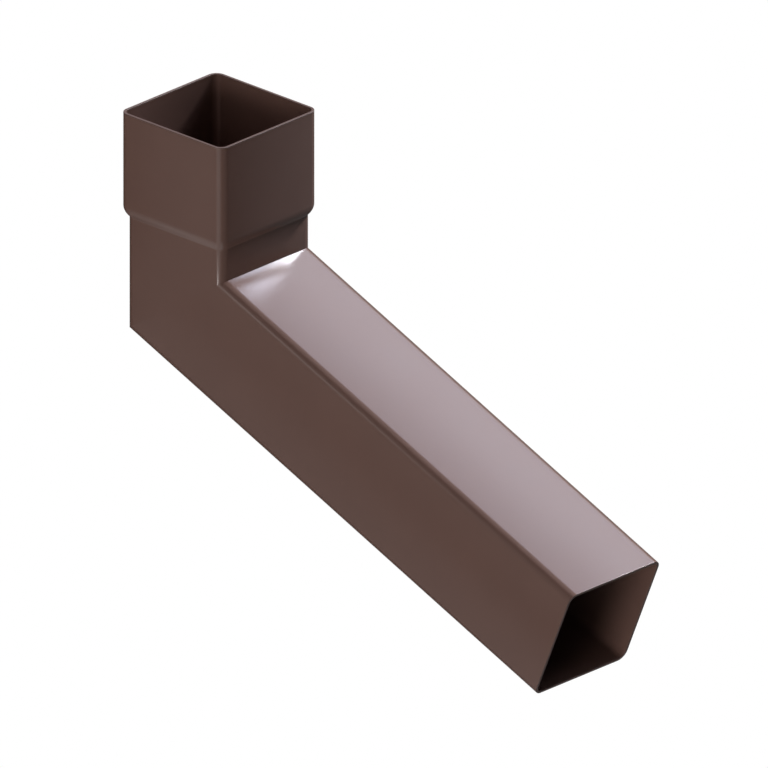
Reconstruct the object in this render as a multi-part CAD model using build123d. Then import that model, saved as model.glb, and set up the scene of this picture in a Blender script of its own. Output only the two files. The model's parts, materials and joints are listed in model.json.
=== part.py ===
from build123d import *
import math
import os

# A square downspout elbow in thin aluminium, one welded piece. The socket stands
# upright and opens upwards. Below it a short neck of plain pipe meets a long leg
# in one sharp mitre, and the leg slopes down along +X to a square-cut end.
# The origin is the centre of the socket's mouth.

# Pipe, in millimetres
pipe_width = 72.0
wall = 1.6
corner_radius = 5.7

# Socket: the swaged end that the pipe above pushes into
push_clearance = 0.85
socket_depth = 55.0

# Shoulder: the rounded step between socket and neck
shoulder_length = 7.2
crown_share = 0.85

# Neck, bend and leg
neck_length = 18.5
bend_angle = 112.5
leg_length = 283.4

# Rounding of the cut edges at the mouth and at the leg's end
edge_round = 0.3

# How near an edge lies to a plane to count as on it
on_plane = 0.01

# Worked out from the sizes above
pipe_half = pipe_width / 2
socket_half = pipe_half + push_clearance + wall
shoulder_step = socket_half - pipe_half
shoulder_radii = (shoulder_length**2 + shoulder_step**2) / (2 * shoulder_step)
crown_radius = crown_share * shoulder_radii
root_radius = shoulder_radii - crown_radius
shoulder_turn = math.degrees(math.asin(shoulder_length / shoulder_radii))
neck_top = -(socket_depth + shoulder_length)
mitre_angle = (180 - bend_angle) / 2
mitre_reach = pipe_half * math.tan(math.radians(mitre_angle))
bend_centre = Vector(0, 0, neck_top - neck_length - mitre_reach)
leg_slope = bend_angle - 90
leg_direction = Vector(1, 0, 0).rotate(Axis.Y, leg_slope)
end_centre = bend_centre + leg_direction * (leg_length + mitre_reach)
end_plane = Plane(origin=end_centre, x_dir=(0, 1, 0), z_dir=leg_direction)


def half_outline(inset, rise):
    """Half of the socket's front view, from its middle line out to one side.

    From the mouth down: the straight socket, the crown arc that turns in, the
    root arc that turns back, and the start of the neck. Both arcs keep their
    centres when the outline moves in by the wall, so the wall stays even.
    """
    top = (socket_half - inset, rise)
    crown = CenterArc(
        (socket_half - crown_radius, -socket_depth),
        crown_radius - inset,
        0,
        -shoulder_turn,
    )
    root = CenterArc(
        (pipe_half + root_radius, neck_top),
        root_radius + inset,
        180 - shoulder_turn,
        shoulder_turn,
    )
    sides = [
        Line((0, rise), top),
        Line(top, crown @ 0),
        crown,
        root,
        Line(root @ 1, (0, neck_top)),
        Line((0, neck_top), (0, rise)),
    ]
    return make_face(Curve() + sides)


def socket_block(inset, rise):
    """The socket and its shoulder as a solid, moved in by inset on all four sides.

    The front view pushed through from the front and again from the side leaves
    the square form. Its four standing edges are then rounded along the shoulder.
    """
    half = half_outline(inset, rise)
    front = Plane.XZ * (half + mirror(half, about=Plane.YZ))
    slab = extrude(front, amount=socket_half, both=True)
    block = slab & slab.rotate(Axis.Z, 90)
    standing = block.edges().filter_by(
        lambda e: min(abs(e.center().X), abs(e.center().Y)) > pipe_half / 2
    )
    return fillet(standing, corner_radius - inset)


def pipe_run(inset, overrun):
    """Neck and leg as one solid: the square section carried along the two centre
    lines, with the mitre where they meet. overrun carries it past the leg's end."""
    side = pipe_width - 2 * inset
    section = RectangleRounded(side, side, corner_radius - inset)
    path = Polyline(
        (0, 0, neck_top),
        bend_centre,
        end_centre + leg_direction * overrun,
    )
    return sweep(Pos(0, 0, neck_top) * section, path, transition=Transition.RIGHT)


def edges_on(solid, plane):
    """The edges of a solid that lie wholly on a plane."""
    return solid.edges().filter_by(
        lambda e: all(abs(plane.to_local_coords(e @ t).Z) < on_plane for t in (0, 0.5, 1))
    )


def elbow():
    """The whole shell: outer form less bore, with its cut edges rounded."""
    outer = socket_block(0, 0) + pipe_run(0, 0)
    bore = socket_block(wall, wall) + pipe_run(wall, wall)
    shell = outer - bore
    mouth_edges = edges_on(shell, Plane.XY)
    end_edges = edges_on(shell, end_plane)
    return fillet(mouth_edges + end_edges, min(edge_round, 0.4 * wall))


os.makedirs("parts", exist_ok=True)
export_step(elbow(), "parts/elbow.step")
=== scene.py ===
"""The looks of a square downspout elbow in brown powder-coated aluminium, in metres.

One operator builds the elbow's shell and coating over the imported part, and one sets the
stage: a pale floor, soft studio light and the camera.
"""

import json
import math
import bpy
import numpy as np
from mathutils import Matrix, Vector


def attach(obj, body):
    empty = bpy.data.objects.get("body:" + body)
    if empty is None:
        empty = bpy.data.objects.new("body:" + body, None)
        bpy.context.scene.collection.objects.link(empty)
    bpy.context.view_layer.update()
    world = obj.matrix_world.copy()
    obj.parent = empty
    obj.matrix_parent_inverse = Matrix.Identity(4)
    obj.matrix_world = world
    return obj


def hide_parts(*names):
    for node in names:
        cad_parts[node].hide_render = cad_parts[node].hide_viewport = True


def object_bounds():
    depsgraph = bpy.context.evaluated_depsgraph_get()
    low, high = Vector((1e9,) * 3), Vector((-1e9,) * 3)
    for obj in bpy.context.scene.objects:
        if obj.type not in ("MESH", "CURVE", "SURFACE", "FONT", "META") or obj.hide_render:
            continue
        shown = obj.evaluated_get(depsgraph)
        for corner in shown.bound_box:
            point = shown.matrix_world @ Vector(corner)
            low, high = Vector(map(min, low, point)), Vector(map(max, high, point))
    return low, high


bl_info = {
    "name": "Downspout Elbow",
    "version": (1, 0, 0),
    "blender": (4, 5, 0),
    "location": "View3D > Sidebar > Elbow",
    "description": "Builds a coated square downspout elbow and the studio around it",
    "category": "Add Mesh",
}

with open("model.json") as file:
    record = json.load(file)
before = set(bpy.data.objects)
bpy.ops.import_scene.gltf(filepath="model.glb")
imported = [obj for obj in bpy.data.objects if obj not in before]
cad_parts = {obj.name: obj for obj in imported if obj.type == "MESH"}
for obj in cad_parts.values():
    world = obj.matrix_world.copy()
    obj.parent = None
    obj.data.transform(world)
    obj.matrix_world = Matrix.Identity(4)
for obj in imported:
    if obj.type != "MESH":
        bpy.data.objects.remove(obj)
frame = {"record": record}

# What the frame says of the part
CAD_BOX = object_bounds()
SPIGOT = next(mount for mount in frame["record"]["mounts"] if mount["name"] == "spigot")
LEG_END = np.array(SPIGOT["pos_m"])
LEG_ALONG = np.array(SPIGOT["axis"])

# The axes of the upright and of the leg: across the bend, aside from it, and along
ACROSS, ASIDE, UP = np.eye(3)
LEG_ACROSS = np.array([-LEG_ALONG[2], 0, LEG_ALONG[0]])
UPRIGHT_AXES = (ACROSS, ASIDE, UP)
LEG_AXES = (LEG_ACROSS, ASIDE, LEG_ALONG)

# Where the leg's middle line meets the upright's, its length from there, and the turn it makes
LEG_REACH = LEG_END[0] / LEG_ALONG[0]
BEND = LEG_END - LEG_ALONG * LEG_REACH
BEND_TURN = math.atan2(LEG_ALONG[0], -LEG_ALONG[2])

# How finely each stretch of the shell is divided
FLAT_STEPS = 8
CORNER_STEPS = 14
SOCKET_STEPS = 6
CROWN_STEPS = 10
ROOT_STEPS = 5
NECK_STEPS = 6
LEG_STEPS = 20
EDGE_STEPS = 4

# How many finer layers of noise the coat's tone and its ripples have
TONE_DETAIL = 3.0
PEEL_DETAIL = 2.0

# The mesh attribute that holds each point's distance from the mouth
MOUTH_DISTANCE = "from_mouth"

# The furthest that a side of the shell's box may lie from the part's
BOX_TOLERANCE = 0.0002

# The studio's distant lights: name, azimuth from -Y towards +X and elevation in degrees,
# strength in watts per square metre, and the angle that the light fills in degrees.
# Dull lights draw shadows and no gloss, and gleams draw gloss alone.
KEYS = (
    ("key_left", 180.0, 42.5, 1.74, 4),
    ("key_right", 165.4, 41.5, 0.90, 4),
    ("key_low", 172.6, 39.1, 0.61, 3),
)
DULL_KEYS = (
    ("dull_key", 171.7, 42.2, 2.10, 4),
    ("dull_key_low", 172.6, 39.1, 1.85, 3),
)
PANELS = (
    ("glow", 170.4, 46.5, 1.72, 20),
    ("glow_right", 163.3, 49.0, 0.60, 16),
    ("back_panel", 172.0, 47.0, 1.38, 50),
    ("low_panel", 178.0, 34.0, 0.47, 20),
)
DULL_FRONTS = (
    ("side_light", 10.0, 0.0, 1.90, 24),
)
GLEAMS = (
    ("side_gleam", 11.0, -6.0, 1.02, 5),
)
FRONTS = (
    ("high_side_light", 12.0, 14.0, 0.45, 40),
    ("right_side_light", 32.0, 0.0, 0.20, 40),
    ("left_light", -60.0, 8.0, 0.10, 34),
    ("front_fill", -20.0, 15.0, 0.29, 80),
    ("top_light", 0.0, 90.0, 0.11, 40),
)
LOWS = (
    ("floor_front", 20.0, -48.0, 0.52, 60),
    ("floor_left", -40.0, -48.0, 0.16, 50),
    ("floor_gleam", -43.0, -45.0, 0.07, 28),
    ("floor_right", 80.0, -48.0, 0.10, 60),
    ("floor_back", 150.0, -48.0, 0.14, 60),
    ("floor_far", 220.0, -48.0, 0.20, 60),
)


# The kinds of value that a user can change
def length(name, description, default):
    return bpy.props.FloatProperty(
        name=name, description=description, default=default, subtype="DISTANCE", unit="LENGTH", precision=5
    )


def angle(name, description, degrees):
    return bpy.props.FloatProperty(
        name=name, description=description, default=math.radians(degrees), subtype="ANGLE", unit="ROTATION"
    )


def share(name, description, default):
    return bpy.props.FloatProperty(name=name, description=description, default=default, subtype="FACTOR")


def strength(name, description, default):
    return bpy.props.FloatProperty(name=name, description=description, default=default)


def colour(name, description, default):
    return bpy.props.FloatVectorProperty(
        name=name, description=description, default=default, subtype="COLOR", size=3
    )


class ElbowSizes(bpy.types.PropertyGroup):
    """Sizes of the elbow's shell, and how softly it is shaded"""

    socket_width: length("Socket width", "Across the socket's flats, outside", CAD_BOX[1].y - CAD_BOX[0].y)
    pipe_width: length("Pipe width", "Across the flats of the neck and leg, outside", 0.072)
    wall: length("Wall", "Thickness of the sheet", 0.0016)
    corner_radius: length("Corner radius", "Outside radius of the four long corners", 0.0057)
    socket_depth: length("Socket depth", "From the mouth to where the shoulder starts", 0.055)
    shoulder_length: length("Shoulder length", "Height of the step from socket to neck", 0.0072)
    crown_share: share("Crown share", "Part of the shoulder taken by its upper, outward curve", 0.85)
    edge_round: length("Edge rounding", "Radius of the cut edges at the mouth and the leg's end", 0.00015)
    shoulder_share: share("Shoulder share", "Part of the shoulder's own lean that its shading shows", 0.62)
    side_lean: angle("Side lean", "How far a drawn side seems to turn towards its corners", 5.6)
    soft_turn: angle("Soft turn", "Up to this turn, the bend's shading is wholly drawn round", 29)
    crisp_turn: angle("Crisp turn", "From this turn on, the bend is a crisp edge", 44)
    neck_share: share("Neck share", "How far the neck's shading gives way to the leg's at the bend", 0.29)
    leg_share: share("Leg share", "How far the leg's shading gives way to the neck's at the bend", 0.43)


class CoatingLook(bpy.types.PropertyGroup):
    """Colour and finish of the powder coat"""

    body: colour("Body colour", "Mean colour of the coat", (0.0957, 0.0568, 0.0457))
    drift: share("Drift", "How much the coat's tone changes from place to place", 0.06)
    drift_size: length("Drift size", "Distance over which the tone changes", 0.035)
    roughness: share("Roughness", "Mean roughness of the coat", 0.20)
    roughness_drift: share("Roughness drift", "How much the roughness changes", 0.04)
    # Near the mouth's edge rubbing makes the coat rougher, and its tone is darkened there as painted shade
    # that dims the brightly lit rim
    rub_and_shade_reach: length("Rub reach", "How far the rubbed coat reaches down from the mouth's edge", 0.0012)
    rub_roughness: share("Rub roughness", "How much rougher the coat is where it is rubbed", 0.30)
    rim_painted_shade: share("Rub tone", "How much darker the coat is where it is rubbed", 0.3)
    peel_size: length("Orange peel size", "Distance between the coat's fine ripples", 0.0022)
    peel_height: length("Orange peel height", "Height of the coat's fine ripples", 0.00001)


class StudioLook(bpy.types.PropertyGroup):
    """Floor, lights and camera"""

    floor_colour: colour("Floor colour", "Colour of the floor and the backdrop behind it", (1.0, 1.0, 1.0))
    floor_size: length("Floor size", "Side of the square floor", 12.0)
    floor_drop: length("Floor drop", "How far the floor lies under the elbow's lowest point", 0.25)
    key_strength: strength("Key strength", "Multiplies the narrow lights behind the elbow", 1.0)
    dull_strength: strength("Dull strength", "Multiplies the narrow lights that draw no gloss", 1.0)
    panel_strength: strength("Panel strength", "Multiplies the soft panels behind the elbow", 1.0)
    front_strength: strength("Front strength", "Multiplies the lights before the elbow", 1.0)
    low_strength: strength("Low strength", "Multiplies the light that comes back off the floor", 1.0)
    key_tint: colour("Key tint", "Colour of the narrow lights", (0.94, 0.96, 1.0))
    panel_tint: colour("Panel tint", "Colour of the soft panels", (0.79, 0.83, 1.0))
    front_tint: colour("Front tint", "Colour of the lights before the elbow", (1.0, 0.93, 0.92))
    low_tint: colour("Low tint", "Colour of the light off the floor", (0.96, 0.96, 0.98))
    view_azimuth: angle("View azimuth", "Camera's turn about the upright, from looking along +Y", 43.49)
    view_elevation: angle("View elevation", "Camera's angle above the horizon", 23.19)
    view_width: length("View width", "Width that the square picture takes in", 0.41796)
    view_right: length("View right", "From the socket's mouth to the picture's centre", 0.08990)
    view_down: length("View down", "From the socket's mouth to the picture's centre", 0.14884)
    view_back: length("View back", "From the socket's mouth to the camera", 1.5)


class Wire:
    """A shader socket in plain arithmetic: each operator adds the Math node for it."""

    def __init__(self, recipe, socket):
        self.recipe = recipe
        self.socket = socket

    def maths(self, operation, first, second):
        return self.recipe.node("ShaderNodeMath", {"operation": operation}, {0: first, 1: second})

    def __add__(self, other):
        return self.maths("ADD", self, other)

    __radd__ = __add__

    def __sub__(self, other):
        return self.maths("SUBTRACT", self, other)

    def __rsub__(self, other):
        return self.maths("SUBTRACT", other, self)

    def __mul__(self, other):
        return self.maths("MULTIPLY", self, other)

    __rmul__ = __mul__


class Recipe:
    """A node tree that is filled one node at a time."""

    def __init__(self, tree):
        self.tree = tree
        tree.nodes.clear()

    def node(self, kind, settings=None, sockets=None, out=0):
        """Adds one node: its type, then its settings, then the values or links of its sockets."""
        made = self.tree.nodes.new(kind)
        for name, value in (settings or {}).items():
            setattr(made, name, value)
        for name, value in (sockets or {}).items():
            if isinstance(value, Wire):
                self.tree.links.new(value.socket, made.inputs[name])
            else:
                made.inputs[name].default_value = value
        return Wire(self, made.outputs[out]) if made.outputs else None


def bearing(turn):
    """Unit vectors (cos, sin) at these angles."""
    return np.stack([np.cos(turn), np.sin(turn)], -1)


def square_walk(lean):
    """Once round a rounded square: (corner share, circle share, shading direction), N x 2 each.

    A point of the section is (half - radius) x corner share + radius x circle share. Along a
    flat the corner share runs from corner to corner and the circle share is the flat's normal;
    round a corner the corner share stands still and the circle share makes a quarter turn.
    The shading direction turns evenly by lean from a flat's middle to its end, and round each
    corner by what is left of the quarter turn.
    """
    along_flat = np.linspace(-1, 1, FLAT_STEPS, endpoint=False)
    round_corner = np.linspace(0, 1, CORNER_STEPS, endpoint=False)
    ahead_share = np.tile(np.concatenate([along_flat, np.ones(CORNER_STEPS)]), 4)
    turn = np.tile(np.concatenate([np.zeros(FLAT_STEPS), round_corner * np.pi / 2]), 4)
    corner_lean = lean + round_corner * (np.pi / 2 - 2 * lean)
    leaned = np.tile(np.concatenate([along_flat * lean, corner_lean]), 4)
    side = np.repeat(np.arange(4) * np.pi / 2, FLAT_STEPS + CORNER_STEPS)
    corner_share = bearing(side) + ahead_share[:, None] * bearing(side + np.pi / 2)
    return corner_share, bearing(side + turn), bearing(side + leaned)


def arc_rows(centre_half, centre_level, radius, start, end, steps, shading_share=1.0):
    """Rows of (half, level, shading out, shading along): centre + radius x (cos, sin) of the lean.

    The lean runs evenly from start to end, and the shading shows this share of it.
    """
    lean = np.linspace(start, end, steps + 1)
    out, along = bearing(lean).T
    shading = bearing(lean * shading_share)
    return np.column_stack([centre_half + radius * out, centre_level + radius * along, shading])


def wall_rows(half, start, end, steps):
    """Rows of (half, level, shading out, shading along) down a straight wall, shaded as it is."""
    level = np.linspace(start, end, steps + 1)
    return np.stack([half + 0 * level, level, 1 + 0 * level, 0 * level], -1)


def socket_rows(sizes, inset):
    """Rows from the mouth down to the neck, for the outside or for the bore inset within it.

    Below the straight socket a crown arc turns the wall inwards and a root arc turns it back
    upright. Their radii add up to (length squared + step squared) / (2 x step), so that they
    meet where both lean alike. The bore's arcs keep the outside's centres.
    """
    socket_half = sizes.socket_width / 2
    pipe_half = sizes.pipe_width / 2
    step = socket_half - pipe_half
    radii = (sizes.shoulder_length ** 2 + step ** 2) / (2 * step)
    crown = sizes.crown_share * radii
    root = radii - crown
    turn = math.asin(sizes.shoulder_length / radii)
    start = -sizes.socket_depth
    foot = start - sizes.shoulder_length
    shown = sizes.shoulder_share
    wall = wall_rows(socket_half - inset, -sizes.edge_round, start, SOCKET_STEPS)
    crown_arc = arc_rows(socket_half - crown, start, crown - inset, 0, -turn, CROWN_STEPS, shown)
    root_arc = arc_rows(pipe_half + root, foot, -root - inset, -turn, 0, ROOT_STEPS, shown)
    return np.concatenate([wall, crown_arc[1:], root_arc[1:]])


def edge_rows(half, end_level, sizes):
    """Rows over a cut edge from the outside to the bore: two rounded arrises and a flat rim.

    Levels rise out of the opening, and each arris is a quarter circle.
    """
    arris = sizes.edge_round
    level = end_level - arris
    outer = arc_rows(half - arris, level, arris, 0, math.pi / 2, EDGE_STEPS)
    inner = arc_rows(half - sizes.wall + arris, level, arris, math.pi / 2, math.pi, EDGE_STEPS)
    return np.concatenate([outer, inner])


def skin_rows(profile, radius, on_leg=False, follow=0.0, facing=1):
    """A profile's rows in full: half, radius, level, follow, shading out, shading along, on leg."""
    half, level, out, along = profile.T
    columns = (half, radius, level, follow, facing * out, facing * along, on_leg)
    return np.stack(np.broadcast_arrays(*columns), -1)


def shell_rows(sizes):
    """All rows of the closed skin, from the mouth down the outside and back up the bore.

    The rows run down the socket and neck, over the mitre, down the leg, over its cut end, back
    through the bore and over the mouth's rim to where they started. Follow says how far a
    row's level gives way to the slanted mitre plane: from none at the shoulder to all at the
    bend, and back to none at the leg's end.
    """
    pipe_half = sizes.pipe_width / 2
    socket_centre = sizes.socket_width / 2 - sizes.corner_radius
    pipe_centre = pipe_half - sizes.corner_radius
    foot = -sizes.socket_depth - sizes.shoulder_length
    towards_bend = np.arange(1, NECK_STEPS + 1) / NECK_STEPS
    from_bend = 1 - np.arange(1, LEG_STEPS + 1) / LEG_STEPS
    sides = []
    for inset, facing in ((0, 1), (sizes.wall, -1)):
        radius = sizes.corner_radius - inset
        socket = socket_rows(sizes, inset)
        neck = wall_rows(pipe_half - inset, foot, foot, NECK_STEPS)[1:]
        leg = wall_rows(pipe_half - inset, LEG_REACH, LEG_REACH, LEG_STEPS)[1:]
        leg[:, 1] -= sizes.edge_round
        side = np.concatenate([
            skin_rows(socket, radius, facing=facing),
            skin_rows(neck, radius, follow=towards_bend, facing=facing),
            skin_rows(leg, radius, on_leg=True, follow=from_bend, facing=facing),
        ])
        sides.append(side[::facing])
    end = edge_rows(pipe_half, LEG_REACH, sizes)[1:-1]
    mouth = edge_rows(sizes.socket_width / 2, 0, sizes)[::-1][1:-1]
    return np.concatenate([
        sides[0],
        skin_rows(end, end[:, 0] - pipe_centre, on_leg=True),
        sides[1],
        skin_rows(mouth, mouth[:, 0] - socket_centre),
    ])


def placed(across, aside, along, axes):
    """Points at across, aside and along these three axes, added up."""
    return sum(part[..., None] * axis for part, axis in zip((across, aside, along), axes))


def shell_surface(sizes):
    """Points (rows x columns x 3) of the skin, their distances from the mouth, and the shading
    directions on each quad's first and second row.

    An upright row lies at (across, aside, level), and a leg row at the bend + across, aside and
    level on the leg's axes. The mitre plane rises by the tangent of half the bend's turn for
    each step across. All of the leg counts as lying its whole length away from the mouth.

    A shading direction is out x the section's own direction + along x the axis, in the axes of
    the stretch that the quad is in, so the two stretches meet in a crisp edge. Where they turn
    little, near the sides that both share, each direction gives way to the other stretch's by
    the square root of follow x that stretch's share, as in sheet drawn round a bend.
    """
    corner_share, circle_share, shading = square_walk(sizes.side_lean)
    half, radius, level, follow, out, along, on_leg = shell_rows(sizes).T[..., None]
    across, aside = ((half - radius) * corner_share[:, i] + radius * circle_share[:, i] for i in (0, 1))
    slant = math.tan(BEND_TURN / 2) * across
    upright_level = level + follow * (BEND[2] + slant - level)
    leg_level = level + follow * (slant - level)
    upright = placed(across, aside, upright_level, UPRIGHT_AXES)
    leg = BEND + placed(across, aside, leg_level, LEG_AXES)
    points = np.where(on_leg[..., None] > 0, leg, upright)
    from_mouth = np.where(on_leg > 0, LEG_REACH, -upright_level)

    in_upright, in_leg = (shading[:, :1] * axis + shading[:, 1:] * ASIDE for axis in (ACROSS, LEG_ACROSS))
    between = np.arccos(np.clip((in_upright * in_leg).sum(-1), -1, 1))
    roundness = np.clip((sizes.crisp_turn - between) / (sizes.crisp_turn - sizes.soft_turn), 0, 1)
    quad_on_leg = (on_leg + np.roll(on_leg, -1, axis=0) > 0)[..., None]
    softness = np.where(quad_on_leg, sizes.leg_share, sizes.neck_share) * roundness[:, None]
    own = np.where(quad_on_leg, in_leg, in_upright)
    other = np.where(quad_on_leg, in_upright, in_leg)
    axis = np.where(quad_on_leg, LEG_ALONG, UP)
    directions = []
    for shift in (0, -1):
        giving, row_out, row_along = np.roll([np.sqrt(follow), out, along], shift, axis=1)[..., None]
        direction = row_out * (own + giving * softness * (other - own)) + row_along * axis
        directions.append(direction / np.linalg.norm(direction, axis=-1, keepdims=True))
    return points, from_mouth, *directions


def closed_mesh(name, points, from_mouth, first, second):
    """A mesh from a grid of points whose last row and column join on to the first.

    Each quad takes its corner normals from the first directions on its first row and from the
    second on the next. Each point keeps its distance from the mouth as an attribute.
    """
    index = np.arange(points[..., 0].size).reshape(points.shape[:2])
    below = np.roll(index, -1, axis=0)
    quads = np.stack([index, below, np.roll(below, -1, axis=1), np.roll(index, -1, axis=1)], -1)
    corners = np.stack([first, second, np.roll(second, -1, axis=1), np.roll(first, -1, axis=1)], 2)
    mesh = bpy.data.meshes.new(name)
    mesh.from_pydata(points.reshape(-1, 3).tolist(), [], quads.reshape(-1, 4).tolist())
    distance = mesh.attributes.new(MOUTH_DISTANCE, "FLOAT", "POINT")
    distance.data.foreach_set("value", from_mouth.ravel())
    mesh.shade_smooth()
    mesh.normals_split_custom_set(corners.reshape(-1, 3).tolist())
    return mesh


def coating(look):
    """Satin brown powder coat: a tone that drifts a little, fine ripples, and a mouth's edge
    that rubbing makes rougher and that is darkened with painted shade.

    The share of rub and painted shade falls smoothly from one at the mouth's edge to none at the rub's
    reach.
    """
    material = bpy.data.materials.new("brown_coating")
    material.use_nodes = True
    recipe = Recipe(material.node_tree)
    place = recipe.node("ShaderNodeTexCoord", out="Object")
    drift = recipe.node(
        "ShaderNodeTexNoise", {}, {"Vector": place, "Scale": 1 / look.drift_size, "Detail": TONE_DETAIL}
    )
    peel = recipe.node(
        "ShaderNodeTexNoise", {}, {"Vector": place, "Scale": 1 / look.peel_size, "Detail": PEEL_DETAIL}
    )
    from_mouth = recipe.node("ShaderNodeAttribute", {"attribute_name": MOUTH_DISTANCE}, out="Fac")
    # Share of rub and of painted shade: one at the mouth's edge, none at the reach
    rubbed_and_shade_painted = recipe.node("ShaderNodeMapRange", {"interpolation_type": "SMOOTHSTEP"}, {
        "Value": from_mouth, "From Min": 0.0, "From Max": look.rub_and_shade_reach, "To Min": 1.0, "To Max": 0.0,
    })
    # The third tone is painted shade: a darker coat that dims the mouth's brightly lit rim
    light, dark, painted_rim_shade = (
        (*(part * tone for part in look.body), 1)
        for tone in (1 + look.drift, 1 - look.drift, 1 - look.rim_painted_shade)
    )
    body = recipe.node(
        "ShaderNodeMix", {"data_type": "RGBA"}, {"Factor": drift, "A": light, "B": dark}, out="Result"
    )
    tone = recipe.node(
        "ShaderNodeMix", {"data_type": "RGBA"}, {"Factor": rubbed_and_shade_painted, "A": body, "B": painted_rim_shade}, out="Result"
    )
    roughness = look.roughness + look.roughness_drift * (drift + peel - 1) + look.rub_roughness * rubbed_and_shade_painted
    ripple = recipe.node(
        "ShaderNodeBump", {}, {"Strength": 1.0, "Distance": look.peel_height, "Height": peel}
    )
    coat = recipe.node(
        "ShaderNodeBsdfPrincipled", {}, {"Base Color": tone, "Roughness": roughness, "Normal": ripple}
    )
    recipe.node("ShaderNodeOutputMaterial", {}, {"Surface": coat})
    return material


class ELBOW_OT_build(bpy.types.Operator):
    """Build the elbow's shell and coat it"""

    bl_idname = "downspout.build_elbow"
    bl_label = "Build elbow"

    def execute(self, context):
        mesh = closed_mesh("elbow_shell", *shell_surface(context.scene.elbow_sizes))
        mesh.materials.append(coating(context.scene.coating_look))
        elbow = bpy.data.objects.new("elbow_shell", mesh)
        context.scene.collection.objects.link(elbow)
        corners = np.array(elbow.bound_box)
        gap = np.abs(np.stack([corners.min(0), corners.max(0)]) - np.array(CAD_BOX)).max()
        if gap > BOX_TOLERANCE:
            raise RuntimeError(f"the shell's box is {gap * 1000:.2f} mm away from the part's")
        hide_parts("elbow")
        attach(elbow, "root")
        return {"FINISHED"}


def floor(look):
    """A pale square floor under the elbow, which is clear from below.

    It glows by itself, so the elbow throws no shadow on it, and it doesn't light the elbow.
    """
    side = np.array([-0.5, 0.5]) * look.floor_size
    x, y = np.meshgrid(side, side)
    level = np.full_like(x, CAD_BOX[0].z - look.floor_drop)
    mesh = bpy.data.meshes.new("floor")
    mesh.from_pydata(np.stack([x, y, level], -1).reshape(-1, 3).tolist(), [], [(0, 1, 3, 2)])
    material = bpy.data.materials.new("pale_floor")
    material.use_nodes = True
    recipe = Recipe(material.node_tree)
    pale = recipe.node("ShaderNodeEmission", {}, {"Color": (*look.floor_colour, 1)})
    clear = recipe.node("ShaderNodeBsdfTransparent")
    under = recipe.node("ShaderNodeNewGeometry", out="Backfacing")
    surface = recipe.node("ShaderNodeMixShader", {}, {0: under, 1: pale, 2: clear})
    recipe.node("ShaderNodeOutputMaterial", {}, {"Surface": surface})
    mesh.materials.append(material)
    plate = bpy.data.objects.new("floor", mesh)
    plate.visible_diffuse = False
    plate.visible_glossy = False
    plate.visible_shadow = False
    return plate


def soft_light(name, azimuth, elevation, power, spread, amount, tint, diffuse, glossy):
    """A distant round light, so that it falls alike on every part of the elbow."""
    light = bpy.data.lights.new(name, "SUN")
    light.energy = power * amount
    light.angle = math.radians(spread)
    light.color = tint
    lamp = bpy.data.objects.new(name, light)
    lamp.rotation_euler = (math.radians(90 - elevation), 0, math.radians(azimuth))
    lamp.visible_diffuse = diffuse
    lamp.visible_glossy = glossy
    return lamp


def backdrop(look):
    """A world that is pale to the eye and dark for the elbow, so that only the lamps light it."""
    world = bpy.data.worlds.new("backdrop")
    world.use_nodes = True
    recipe = Recipe(world.node_tree)
    room = recipe.node("ShaderNodeBackground", {}, {"Strength": 0.0})
    pale = recipe.node("ShaderNodeBackground", {}, {"Color": (*look.floor_colour, 1)})
    eye = recipe.node("ShaderNodeLightPath", out="Is Camera Ray")
    seen = recipe.node("ShaderNodeMixShader", {}, {0: eye, 1: room, 2: pale})
    recipe.node("ShaderNodeOutputWorld", {}, {"Surface": seen})
    return world


def camera(look):
    """An orthographic camera; its place is in its own axes, right, up and back, from the mouth."""
    lens = bpy.data.cameras.new("camera")
    lens.type = "ORTHO"
    lens.ortho_scale = look.view_width
    about_up = Matrix.Rotation(look.view_azimuth, 4, "Z")
    about_right = Matrix.Rotation(math.pi / 2 - look.view_elevation, 4, "X")
    from_mouth = Matrix.Translation((look.view_right, -look.view_down, look.view_back))
    eye = bpy.data.objects.new("camera", lens)
    eye.matrix_world = about_up @ about_right @ from_mouth
    return eye


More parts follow.
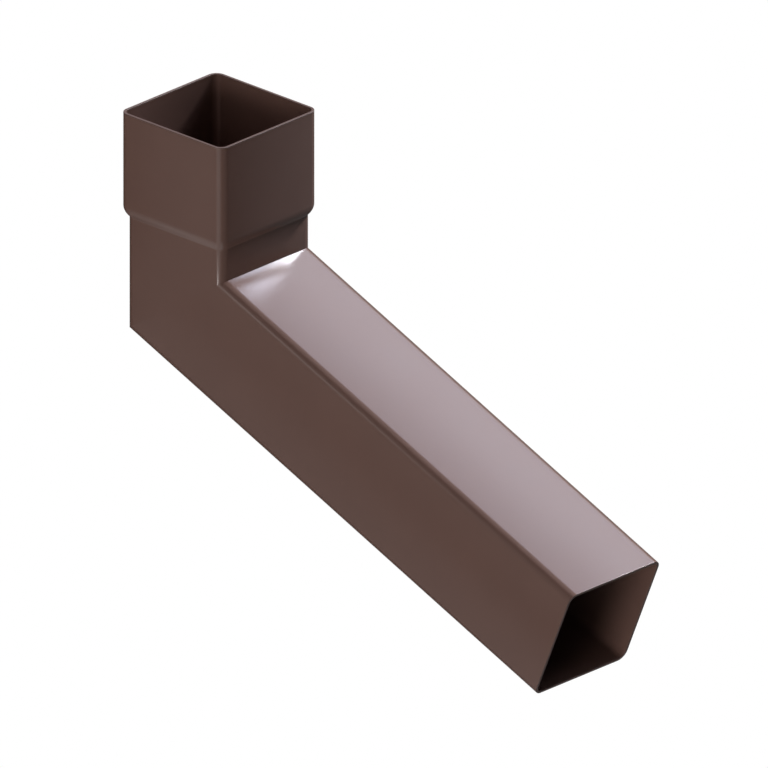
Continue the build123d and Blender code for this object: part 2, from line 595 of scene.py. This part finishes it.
class ELBOW_OT_stage(bpy.types.Operator):
    """Set the floor, the soft lights and the camera"""

    bl_idname = "downspout.set_stage"
    bl_label = "Set stage"

    def execute(self, context):
        scene = context.scene
        look = scene.studio_look
        eye = camera(look)
        groups = (
            (KEYS, look.key_strength, look.key_tint, True, True),
            (DULL_KEYS, look.dull_strength, look.key_tint, True, False),
            (PANELS, look.panel_strength, look.panel_tint, True, True),
            (DULL_FRONTS, look.front_strength, look.front_tint, True, False),
            (GLEAMS, look.front_strength, look.front_tint, False, True),
            (FRONTS, look.front_strength, look.front_tint, True, True),
            (LOWS, look.low_strength, look.low_tint, True, True),
        )
        lamps = [
            soft_light(*row, amount, tint, diffuse, glossy)
            for rows, amount, tint, diffuse, glossy in groups
            for row in rows
        ]
        for item in (floor(look), eye, *lamps):
            scene.collection.objects.link(item)
        scene.camera = eye
        scene.world = backdrop(look)
        scene.view_settings.view_transform = "Standard"
        return {"FINISHED"}


class ELBOW_PT_sidebar(bpy.types.Panel):
    """Sizes, finish and studio of the elbow, with the buttons that make them"""

    bl_idname = "ELBOW_PT_sidebar"
    bl_label = "Downspout Elbow"
    bl_space_type = "VIEW_3D"
    bl_region_type = "UI"
    bl_category = "Elbow"

    def draw(self, context):
        scene = context.scene
        for group, button in (
            (scene.elbow_sizes, None),
            (scene.coating_look, ELBOW_OT_build),
            (scene.studio_look, ELBOW_OT_stage),
        ):
            for name in group.__annotations__:
                self.layout.prop(group, name)
            if button:
                self.layout.operator(button.bl_idname)


CLASSES = (ElbowSizes, CoatingLook, StudioLook, ELBOW_OT_build, ELBOW_OT_stage, ELBOW_PT_sidebar)


def register():
    for item in CLASSES:
        bpy.utils.register_class(item)
    bpy.types.Scene.elbow_sizes = bpy.props.PointerProperty(type=ElbowSizes)
    bpy.types.Scene.coating_look = bpy.props.PointerProperty(type=CoatingLook)
    bpy.types.Scene.studio_look = bpy.props.PointerProperty(type=StudioLook)


def unregister():
    del bpy.types.Scene.studio_look
    del bpy.types.Scene.coating_look
    del bpy.types.Scene.elbow_sizes
    for item in reversed(CLASSES):
        bpy.utils.unregister_class(item)


def main():
    register()
    bpy.ops.downspout.build_elbow()
    bpy.ops.downspout.set_stage()
    bpy.context.view_layer.update()


if __name__ == "__main__":
    main()
